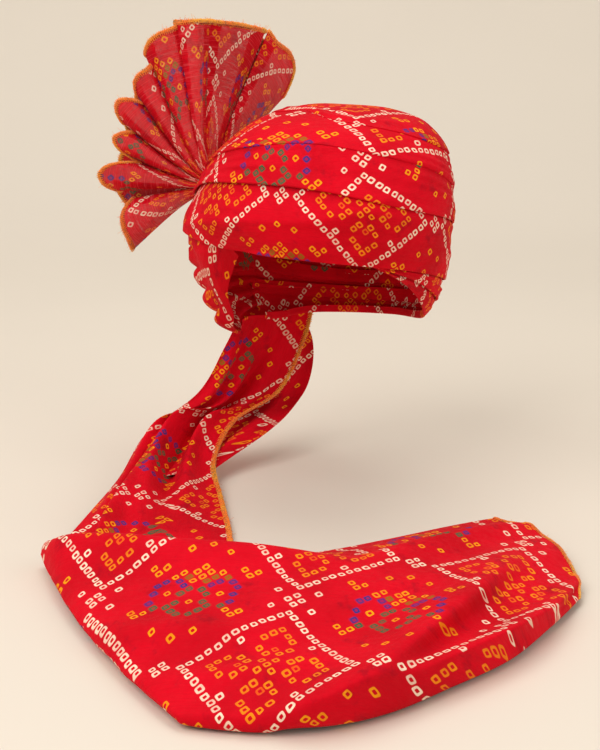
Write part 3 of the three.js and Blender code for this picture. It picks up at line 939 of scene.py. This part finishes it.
def dot_print_group():
    """Node group: cloth coordinates in metres to the print's colour and how much of it is dot."""
    tree = bpy.data.node_groups.new("dot_print", "ShaderNodeTree")
    tree.interface.new_socket("Cloth", in_out="INPUT", socket_type="NodeSocketVector")
    tree.interface.new_socket("Colour", in_out="OUTPUT", socket_type="NodeSocketColor")
    tree.interface.new_socket("Dot", in_out="OUTPUT", socket_type="NodeSocketFloat")
    recipe = Recipe(tree)
    cloth = recipe.node("NodeGroupInput").outputs[0]
    wobble = recipe.node("ShaderNodeTexNoise", {"Vector": cloth, "Scale": 130.0, "Detail": 1.0})
    shifted = recipe.vector("MULTIPLY_ADD", wobble.outputs["Color"], (0.0016, 0.0016, 0.0), cloth)
    split = recipe.node("ShaderNodeSeparateXYZ", {0: shifted})
    x, y = split.outputs[0], split.outputs[1]
    per_metre = 1 / (math.sqrt(2) * sizes().dot_pitch)
    centre = float(MOTIF_CENTRE["petals"][0])
    p = recipe.math("MULTIPLY_ADD", recipe.math("ADD", x, y), per_metre, centre)
    q = recipe.math("MULTIPLY_ADD", recipe.math("SUBTRACT", y, x), per_metre, centre)
    cell_p = recipe.math("ROUND", p)
    cell_q = recipe.math("ROUND", q)
    block = recipe.math("FLOOR", recipe.math("DIVIDE", recipe.math("ADD", cell_q, 0.25), float(BLOCK)))
    row = recipe.math("MULTIPLY_ADD", block, -float(BLOCK), cell_q)
    moved = recipe.math("MULTIPLY_ADD", block, -float(BLOCK), cell_p)
    column = recipe.math("FLOORED_MODULO", recipe.math("ADD", moved, 0.5), 2.0 * BLOCK)
    position = recipe.math("DIVIDE", column, 2.0 * BLOCK)

    chart = dot_chart()
    colour_sum = (0.0, 0.0, 0.0)
    dot_sum = 0.0
    for n in range(BLOCK):
        row_colour, row_dot = chart_row_ramp(recipe, chart, n, position)
        chosen = recipe.math("COMPARE", row, float(n), 0.4)
        colour_sum = recipe.vector("MULTIPLY_ADD", row_colour, chosen, colour_sum)
        dot_sum = recipe.math("MULTIPLY_ADD", row_dot, chosen, dot_sum)

    cell = recipe.node("ShaderNodeCombineXYZ", {0: cell_p, 1: cell_q}).outputs[0]
    chance = recipe.node("ShaderNodeTexWhiteNoise", {"Vector": cell}, noise_dimensions="2D")
    nudge = recipe.node("ShaderNodeSeparateXYZ", {0: chance.outputs["Color"]})
    offsets = []
    for value, whole, n in ((p, cell_p, 0), (q, cell_q, 1)):
        inside = recipe.math("SUBTRACT", value, whole)
        jitter = recipe.math("MULTIPLY_ADD", nudge.outputs[n], 0.14, -0.07)
        offsets.append(recipe.math("ABSOLUTE", recipe.math("ADD", inside, jitter)))
    powers = [recipe.math("POWER", offset, 4.0) for offset in offsets]
    far = recipe.math("POWER", recipe.math("ADD", *powers), 0.25)
    grown = recipe.math("MULTIPLY_ADD", nudge.outputs[2], 0.2, 0.9)
    far = recipe.math("DIVIDE", far, grown)
    outside = recipe.ramp_between(far, 0.33, 0.39, 1.0, 0.0)
    heart = recipe.ramp_between(far, 0.14, 0.20)
    ring = recipe.math("MULTIPLY", outside, heart)
    taken = recipe.math("MULTIPLY_ADD", chance.outputs["Value"], 0.3, 0.7)
    dot = recipe.math("MULTIPLY", recipe.math("MULTIPLY", ring, dot_sum), taken)

    colour = colours()
    red = (*colour.red, 1.0)
    deep = (*colour.deep_red, 1.0)
    cloudy = recipe.noise(cloth, 16.0, 3.0)
    ground = recipe.mix(recipe.ramp_between(cloudy, 0.36, 0.70, 0.0, 0.75), red, deep)
    smudge = recipe.ramp_between(recipe.noise(cloth, 42.0, 4.0, 0.65), 0.54, 0.72, 0.0, 0.5)
    ground = recipe.mix(smudge, ground, (*colour.smudge, 1.0))
    slubs = recipe.noise(recipe.stretched(cloth, (60.0, 900.0, 1.0)), 1.0, 2.0)
    ground = recipe.mix(recipe.ramp_between(slubs, 0.35, 0.75, 0.0, 0.28), ground, deep)
    strength = recipe.node("ShaderNodeSeparateColor", {0: colour_sum}).outputs[0]
    dyed = recipe.math("MULTIPLY", recipe.math("LESS_THAN", strength, 0.3), dot_sum)
    bleed = recipe.math("MULTIPLY", recipe.ramp_between(far, 0.20, 0.60, 0.45, 0.0), dyed)
    ground = recipe.mix(bleed, ground, colour_sum)
    fade = recipe.noise(cloth, 300.0, 2.0)
    dot = recipe.math("MULTIPLY", dot, recipe.ramp_between(fade, 0.2, 0.6, 0.72, 1.0))
    final = recipe.mix(dot, ground, colour_sum)
    out = recipe.node("NodeGroupOutput")
    tree.links.new(final, out.inputs["Colour"])
    tree.links.new(dot, out.inputs["Dot"])
    return tree


def weave_height(recipe, cloth):
    """Height of the plain weave's threads and of the cloth's fine crinkles, about 0 to 1."""
    split = recipe.node("ShaderNodeSeparateXYZ", {0: cloth})
    turns = 2 * math.pi / sizes().thread_pitch
    waves = [recipe.math("SINE", recipe.math("MULTIPLY", split.outputs[n], turns)) for n in (0, 1)]
    weave = recipe.math("MULTIPLY", *waves)
    crinkle = recipe.noise(recipe.stretched(cloth, (90.0, 260.0, 1.0)), 1.0, 3.0)
    wrinkle = recipe.noise(recipe.stretched(cloth, (14.0, 75.0, 1.0)), 1.0, 3.0, 0.55)
    uneven = recipe.math("MULTIPLY_ADD", wrinkle, 3.0, crinkle)
    return recipe.math("MULTIPLY_ADD", weave, 0.12, uneven)


def cotton_material(name, group, sheer=False):
    """Thin red cotton with the dot print; the sheer kind shows what is behind it through its weave, and has
    a painted highlight on streaks of its threads.
    """
    material = bpy.data.materials.new(name)
    material.use_nodes = True
    recipe = Recipe(material.node_tree)
    shader = material.node_tree.nodes["Principled BSDF"]
    cloth = recipe.node("ShaderNodeUVMap", uv_map="cloth").outputs[0]
    printed = recipe.node("ShaderNodeGroup", {}, node_tree=group)
    links = material.node_tree.links
    links.new(cloth, printed.inputs[0])
    colour = printed.outputs["Colour"]
    if sheer:
        # Painted highlight: streaks of the sheer cloth's threads are mixed towards a pale pink as if they
        # caught the light; the same streaks open its weave.
        threads = recipe.noise(recipe.stretched(cloth, (25.0, 900.0, 1.0)), 1.0, 2.0)
        lit = recipe.ramp_between(threads, 0.5, 0.8, 0.0, 0.22)
        colour = recipe.mix(lit, colour, (*colours().painted_thread_highlight, 1.0))
        open_weave = recipe.ramp_between(threads, 0.3, 0.7, sizes().sheer_low, sizes().sheer_high)
        cover = recipe.node("ShaderNodeAttribute", attribute_name="cover").outputs["Fac"]
        dense = recipe.math("MAXIMUM", open_weave, recipe.math("MULTIPLY", printed.outputs["Dot"], 0.8))
        dense = recipe.math("MAXIMUM", dense, recipe.math("MULTIPLY", cover, 0.9))
        links.new(dense, shader.inputs["Alpha"])
    links.new(colour, shader.inputs["Base Color"])
    rough = recipe.ramp_between(recipe.noise(cloth, 220.0), 0.3, 0.7, 0.66, 0.84)
    links.new(rough, shader.inputs["Roughness"])
    height = weave_height(recipe, cloth)
    bump = recipe.node("ShaderNodeBump", {"Strength": 0.5, "Distance": 0.0009, "Height": height})
    links.new(bump.outputs[0], shader.inputs["Normal"])
    shader.inputs["Specular IOR Level"].default_value = 0.06
    shader.inputs["Sheen Weight"].default_value = 0.03
    shader.inputs["Sheen Roughness"].default_value = 0.45
    shader.inputs["Sheen Tint"].default_value = (1.0, 0.45, 0.42, 1.0)
    return material


def thread_material():
    """Spun orange thread: darker between its twists, with yellower stretches."""
    material = bpy.data.materials.new("orange_overlock")
    material.use_nodes = True
    recipe = Recipe(material.node_tree)
    shader = material.node_tree.nodes["Principled BSDF"]
    place = recipe.node("ShaderNodeTexCoord").outputs["Object"]
    links = material.node_tree.links
    stretch = recipe.ramp_between(recipe.noise(place, 45.0, 3.0), 0.42, 0.66)
    base = recipe.mix(stretch, (*colours().thread, 1.0), (*colours().thread_light, 1.0))
    twist = recipe.ramp_between(recipe.noise(place, 900.0, 2.0), 0.32, 0.52, 0.75, 0.0)
    base = recipe.mix(twist, base, (*colours().thread_dark, 1.0))
    links.new(base, shader.inputs["Base Color"])
    rough = recipe.ramp_between(recipe.noise(place, 500.0), 0.3, 0.7, 0.6, 0.85)
    links.new(rough, shader.inputs["Roughness"])
    shader.inputs["Sheen Weight"].default_value = 0.3
    return material


def floor_material():
    """Matt paper, very slightly uneven."""
    material = bpy.data.materials.new("studio_paper")
    material.use_nodes = True
    recipe = Recipe(material.node_tree)
    shader = material.node_tree.nodes["Principled BSDF"]
    place = recipe.node("ShaderNodeTexCoord").outputs["Object"]
    pale = tuple(colours().floor)
    warm = tuple(channel * 0.96 for channel in pale)
    tone = recipe.mix(recipe.noise(place, 3.0), (*pale, 1.0), (*warm, 1.0))
    material.node_tree.links.new(tone, shader.inputs["Base Color"])
    shader.inputs["Roughness"].default_value = 0.9
    shader.inputs["Specular IOR Level"].default_value = 0.1
    return material


def shared_material(name):
    """A material by name, made the first time it is asked for."""
    if name in bpy.data.materials:
        return bpy.data.materials[name]
    if name == "orange_overlock":
        return thread_material()
    group = bpy.data.node_groups.get("dot_print") or dot_print_group()
    return cotton_material(name, group, sheer=name == "dotted_sheer_cotton")


def length_prop(name, description, default):
    return bpy.props.FloatProperty(
        name=name, description=description, default=default, min=0.0, unit="LENGTH", precision=5
    )


def share_prop(name, description, default):
    return bpy.props.FloatProperty(name=name, description=description, default=default, subtype="FACTOR")


def colour_prop(name, description, default):
    return bpy.props.FloatVectorProperty(
        name=name, description=description, default=default, min=0.0, max=1.0, size=3, subtype="COLOR"
    )


class TurbanSizes(bpy.types.PropertyGroup):
    """Sizes of the turban's cloth, print and edges."""

    cloth_thickness: length_prop("Cloth", "Thickness of one layer of the wound cotton", 0.0007)
    loose_thickness: length_prop("Loose cloth", "Thickness of the cotton in the plume and the tail", 0.0006)
    gather_thickness: length_prop("Gathers", "Thickness of the doubled cotton in the side gathers", 0.0025)
    lip_radius: length_prop("Folded edge", "Radius of the fold at a wrap's lower edge", 0.0013)
    turned_hem: length_prop("Turned hem", "How far a wrap's lower edge is turned up inside", 0.006)
    dot_pitch: length_prop("Dot pitch", "Distance between neighbouring dots of the print", 0.0069)
    thread_pitch: length_prop("Weave", "Distance over which the weave repeats", 0.0009)
    overlock_width: length_prop("Overlock width", "Width of the overlocked edge", 0.0050)
    stitch_spacing: length_prop("Stitch spacing", "Distance between stitches of the overlock", 0.0018)
    thread_radius: length_prop("Thread", "Radius of the overlocking thread", 0.00046)
    sheer_low: share_prop("Sheerest", "Cover of the plume's cloth where it is thinnest", 0.70)
    sheer_high: share_prop("Densest", "Cover of the plume's cloth where it is densest", 0.92)


class TurbanColours(bpy.types.PropertyGroup):
    """Colours of the print, the thread and the floor, and the painted highlight on the sheer cloth's
    threads.
    """

    red: colour_prop("Red", "Ground of the print", (0.72, 0.002, 0.014))
    deep_red: colour_prop("Deep red", "Where the dye took more strongly", (0.50, 0.0015, 0.008))
    smudge: colour_prop("Smudge", "Where a layer underneath shows through", (0.20, 0.003, 0.012))
    cream: colour_prop("Cream", "Undyed tied dots", (0.93, 0.76, 0.56))
    yellow: colour_prop("Yellow", "Yellow dots", (0.92, 0.36, 0.006))
    amber: colour_prop("Amber", "Dots of the petals", (0.90, 0.27, 0.008))
    orange: colour_prop("Orange", "Hearts of the petals", (0.86, 0.13, 0.010))
    olive: colour_prop("Olive", "Yellow dots dyed over with green", (0.26, 0.15, 0.012))
    green: colour_prop("Green", "Green dots of the medallions", (0.008, 0.13, 0.060))
    blue: colour_prop("Blue", "Blue dots of the medallions", (0.022, 0.032, 0.21))
    # Painted highlight: the pale pink mixed into streaks of the sheer cloth's threads where they seem to
    # catch the light.
    painted_thread_highlight: colour_prop("Pale thread", "Threads of the sheer cloth in the light", (0.95, 0.36, 0.36))
    thread: colour_prop("Thread", "Overlocking thread", (0.96, 0.22, 0.004))
    thread_light: colour_prop("Light thread", "Yellower stretches of the thread", (0.94, 0.42, 0.015))
    thread_dark: colour_prop("Dark thread", "Shade between the thread's twists", (0.16, 0.045, 0.008))
    floor: colour_prop("Floor", "Pale paper under and behind the turban", (0.77, 0.69, 0.585))


# The stage, in metres, watts and degrees. The camera looks down from in front.
CAMERA = {"place": (-0.0183, -1.4032, 0.3302), "down": 16.523, "lens": 76.9, "sensor": 36}
LIGHTS = records(
    ("name", "place", "power", "size"),
    [
        ("key", (-1.3, -1.5, 2.0), 43, 1.9),
        ("fill", (1.9, -1.5, 1.1), 15, 1.8),
        ("top", (0.0, 0.3, 2.4), 22, 1.8),
    ],
)
# The floor bends up behind like a sheet of paper: where the bend starts, its length and how it curves.
SWEEP = {"from_y": 1.0, "bend": 1.5, "curve": 0.55, "below": 0.0003}


class TURBAN_OT_add_stage(bpy.types.Operator):
    """Adds the pale floor that sweeps up behind, the soft lights and the camera"""

    bl_idname = "turban.add_stage"
    bl_label = "Add stage"

    def execute(self, context):
        deselect()
        tilt = math.radians(90 - CAMERA["down"])
        bpy.ops.object.camera_add(location=CAMERA["place"], rotation=(tilt, 0, 0))
        camera = context.object
        camera.data.lens = CAMERA["lens"]
        camera.data.sensor_width = CAMERA["sensor"]
        context.scene.camera = camera
        self.add_floor()
        for light in LIGHTS:
            self.add_light(**light)
        world = context.scene.world or bpy.data.worlds.new("studio")
        context.scene.world = world
        world.use_nodes = True
        background = world.node_tree.nodes["Background"]
        background.inputs[0].default_value = (1.0, 0.95, 0.88, 1.0)
        background.inputs[1].default_value = 0.52
        context.scene.view_settings.view_transform = "Standard"
        return {"FINISHED"}

    def add_floor(self):
        deselect()
        bpy.ops.mesh.primitive_grid_add(x_subdivisions=8, y_subdivisions=60, size=8, location=(0, 0, 0))
        floor = active_mesh("studio_floor")
        for vertex in floor.data.vertices:
            run = max(vertex.co.y - SWEEP["from_y"], 0.0)
            bent = min(run, SWEEP["bend"])
            rise = SWEEP["curve"] * (bent**2 + 2 * SWEEP["bend"] * (run - bent))
            vertex.co.z = TABLE_Z * MM - SWEEP["below"] + rise
        bpy.ops.object.shade_smooth()
        floor.data.materials.append(floor_material())

    def add_light(self, name, place, power, size):
        bpy.ops.object.light_add(type="AREA", location=place)
        light = bpy.context.object
        light.name = name
        light.data.energy = power
        light.data.size = size
        light.rotation_euler = light.location.to_track_quat("Z", "Y").to_euler()


class TURBAN_OT_add_wraps(bpy.types.Operator):
    """Adds the crown cloths and the wraps, each wound round the head and turned under at its lower edge"""

    bl_idname = "turban.add_wraps"
    bl_label = "Add wraps"

    def execute(self, context):
        for wrap in WRAPS:
            cloth = wrap["cloth"]
            count = round((wrap["end"] - wrap["start"]) / WRAP_STEP)
            azimuths = np.linspace(wrap["start"], wrap["end"], count + 1)
            if cloth == "crown_top":
                points = crown_top_points(azimuths)
                flat_points = crown_top_print(azimuths, points)
            else:
                points = wrap_points(cloth, azimuths)
                flat_points = wrap_print(cloth, azimuths, points)
            piece = cloth_from_grid(cloth + "_cloth", points, place_print(cloth, flat_points))
            close_seams()
            thicken(piece, sizes().cloth_thickness, -1)
            finish_piece(piece, shared_material("dotted_cotton"), "printed_cotton", wrap["node"])
        return {"FINISHED"}


class TURBAN_OT_add_side_gather(bpy.types.Operator):
    """Adds the bunch of gathered cloth on the left side"""

    bl_idname = "turban.add_side_gather"
    bl_label = "Add side gather"

    def execute(self, context):
        turns, shares = (np.linspace(0, 1, count) for count in GATHER_GRID)
        points = gather_points(turns, shares)
        azimuths = GATHER["start"] + (GATHER["end"] - GATHER["start"]) * turns
        up = run_length(points, 1)
        along = np.radians(azimuths - 360)[:, None] * GATHER["print_radius"] + 0 * up
        print_at = place_print("side_gather", np.stack([along, up], -1))
        piece = cloth_from_grid("side_gather_cloth", points, print_at)
        thicken(piece, sizes().gather_thickness, -1)
        finish_piece(piece, shared_material("dotted_cotton"), "printed_cotton", "side_gather")
        return {"FINISHED"}


class TURBAN_OT_add_plume(bpy.types.Operator):
    """Adds the pleated fan of sheer cloth on the left side"""

    bl_idname = "turban.add_plume"
    bl_label = "Add plume"

    def execute(self, context):
        across, along = even_grid(PLUME_GRID)
        points = plume_point(along, across)
        edge = run_length(points, 0)[:, -1:]
        reach = run_length(points, 1)
        print_at = place_print("plume", np.stack([edge[-1] - edge + 0 * reach, reach], -1))
        bunched = 1 - smoothstep(along, PLUME["bunched_to"], PLUME["open_from"])
        cover = np.clip(np.maximum(plume_value("cover", across), bunched), 0, 1)
        piece = cloth_from_grid("plume_cloth", points, print_at, cover=cover)
        thicken(piece, sizes().loose_thickness, 0)
        finish_piece(piece, shared_material("dotted_sheer_cotton"), "printed_cotton", "plume")
        return {"FINISHED"}


class TURBAN_OT_add_tail(bpy.types.Operator):
    """Adds the long tail, from the nape down to the floor and round to the front, and its back layer"""

    bl_idname = "turban.add_tail"
    bl_label = "Add tail"

    def execute(self, context):
        along, across = even_grid((TAIL_END * STEPS_PER_SECTION + 1, TAIL_ROWS))
        points = tail_point(along * TAIL_END, across)
        hung_print = place_print("tail", sheet_print(points))
        laid_from = LAID_PRINT["from_section"] * STEPS_PER_SECTION
        tail = cloth_from_grid("tail_cloth", points, hung_print, laid_from, laid_print_at(points))
        thicken(tail, sizes().loose_thickness, 0)
        finish_piece(tail, shared_material("dotted_cotton"), "printed_cotton", "tail")
        points = backing_point(*even_grid(BACKING_GRID))
        print_at = place_print("tail_backing", sheet_print(points))
        backing = cloth_from_grid("tail_backing_cloth", points, print_at)
        thicken(backing, sizes().loose_thickness, 0)
        finish_piece(backing, shared_material("dotted_cotton"), "printed_cotton", "tail_backing")
        return {"FINISHED"}


class TURBAN_OT_add_edgings(bpy.types.Operator):
    """Adds the overlocked orange edges of the plume and the tail"""

    bl_idname = "turban.add_edgings"
    bl_label = "Add edgings"

    def execute(self, context):
        across = np.linspace(0, 1, EDGE_PLACES["across"])
        one = np.ones_like(across)
        way, _, normal = edge_frame(plume_point, one, across, 1e-3, 1e-4)
        self.add("plume_edging", plume_point(one, across), way, normal, 51)
        along = np.linspace(BOUND_EDGE["start"], BOUND_EDGE["end"], EDGE_PLACES["along"])
        one = np.ones_like(along)
        _, way, normal = edge_frame(tail_point, along, one, 1e-2, 1e-4)
        self.add("tail_side_edging", tail_point(along, one), way, normal, 52)
        end = np.full_like(across, TAIL_END)
        way, _, normal = edge_frame(tail_point, end, across, 1e-2, 1e-4)
        self.add("tail_end_edging", tail_point(end, across), way, normal, 53)
        return {"FINISHED"}

    def add(self, name, points, outward, normal, seed):
        piece = overlock(name.replace("edging", "overlock"), points, outward, normal, seed)
        finish_piece(piece, shared_material("orange_overlock"), "orange_thread", name)


class TURBAN_PT_panel(bpy.types.Panel):
    """Lists the turban's operators, sizes and colours"""

    bl_idname = "TURBAN_PT_panel"
    bl_label = "Tied turban"
    bl_space_type = "VIEW_3D"
    bl_region_type = "UI"
    bl_category = "Turban"

    def draw(self, context):
        for operator in OPERATORS:
            self.layout.operator(operator.bl_idname)
        for group in (context.scene.turban_sizes, context.scene.turban_colours):
            box = self.layout.box()
            for name in group.__annotations__:
                box.prop(group, name)


OPERATORS = (
    TURBAN_OT_add_stage,
    TURBAN_OT_add_wraps,
    TURBAN_OT_add_side_gather,
    TURBAN_OT_add_plume,
    TURBAN_OT_add_tail,
    TURBAN_OT_add_edgings,
)
CLASSES = (TurbanSizes, TurbanColours, *OPERATORS, TURBAN_PT_panel)


def register():
    for cls in CLASSES:
        bpy.utils.register_class(cls)
    bpy.types.Scene.turban_sizes = bpy.props.PointerProperty(type=TurbanSizes)
    bpy.types.Scene.turban_colours = bpy.props.PointerProperty(type=TurbanColours)


def unregister():
    del bpy.types.Scene.turban_colours
    del bpy.types.Scene.turban_sizes
    for cls in reversed(CLASSES):
        bpy.utils.unregister_class(cls)


def main():
    register()
    bpy.ops.turban.add_stage()
    bpy.ops.turban.add_wraps()
    bpy.ops.turban.add_side_gather()
    bpy.ops.turban.add_plume()
    bpy.ops.turban.add_tail()
    bpy.ops.turban.add_edgings()


if __name__ == "__main__":
    main()
